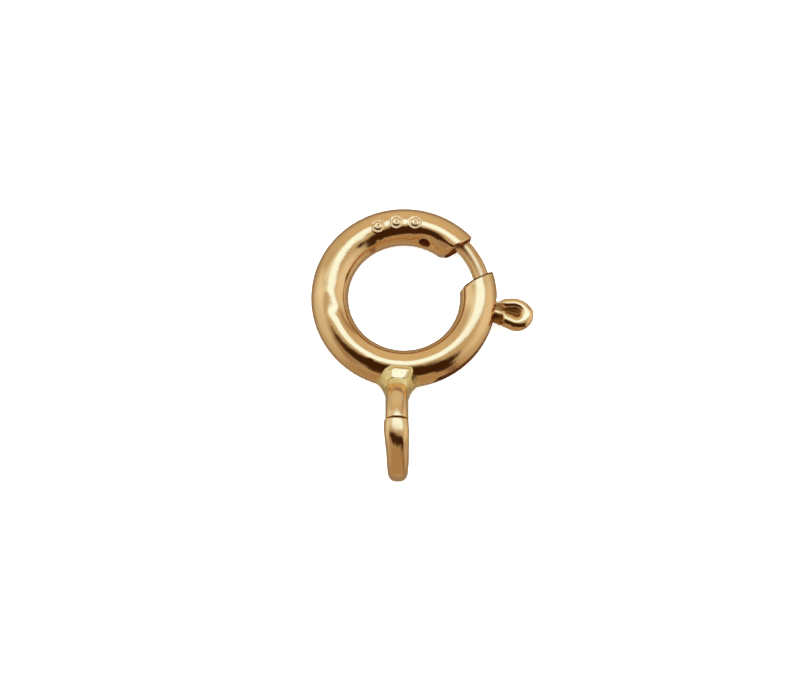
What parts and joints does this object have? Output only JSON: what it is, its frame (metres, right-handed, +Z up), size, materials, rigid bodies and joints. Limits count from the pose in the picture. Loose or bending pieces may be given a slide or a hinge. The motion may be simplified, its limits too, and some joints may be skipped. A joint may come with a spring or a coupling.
{
  "type": "spring ring clasp",
  "caption": "Hollow round ring clasp whose mouth is closed by a sprung sliding tongue with a looped trigger, with an openable wire eye soldered to the ring.",
  "frame": {"origin": "on the surface that the clasp lies on, under the middle of the whole clasp's width and length", "axes": "+Y from the eye to the far side of the ring, +X to the trigger's side, +Z up"},
  "size_m": [0.0072, 0.009, 0.0031],
  "materials": {
    "gold": "polished 14-carat yellow gold with a warm rose cast",
    "gold_solder": "bright pale yellow solder, lightly uneven",
    "spring_steel": "drawn spring wire, dull"
  },
  "bodies": {
    "body": {"ring_body": "gold", "spring": "spring_steel"},
    "tongue": {"tongue": "gold"}
  },
  "joints": [
    {"name": "tongue_slide", "type": "hinge", "parent": "body", "child": "tongue", "pos_m": [-0.0006, 0.00151, 0.00094], "axis": [0, -0.1418, -0.9899], "range_deg": [0, 53], "stiffness_Nm_per_rad": 0.0023, "springref_deg": -37.24, "deforming": ["spring"]}
  ]
}
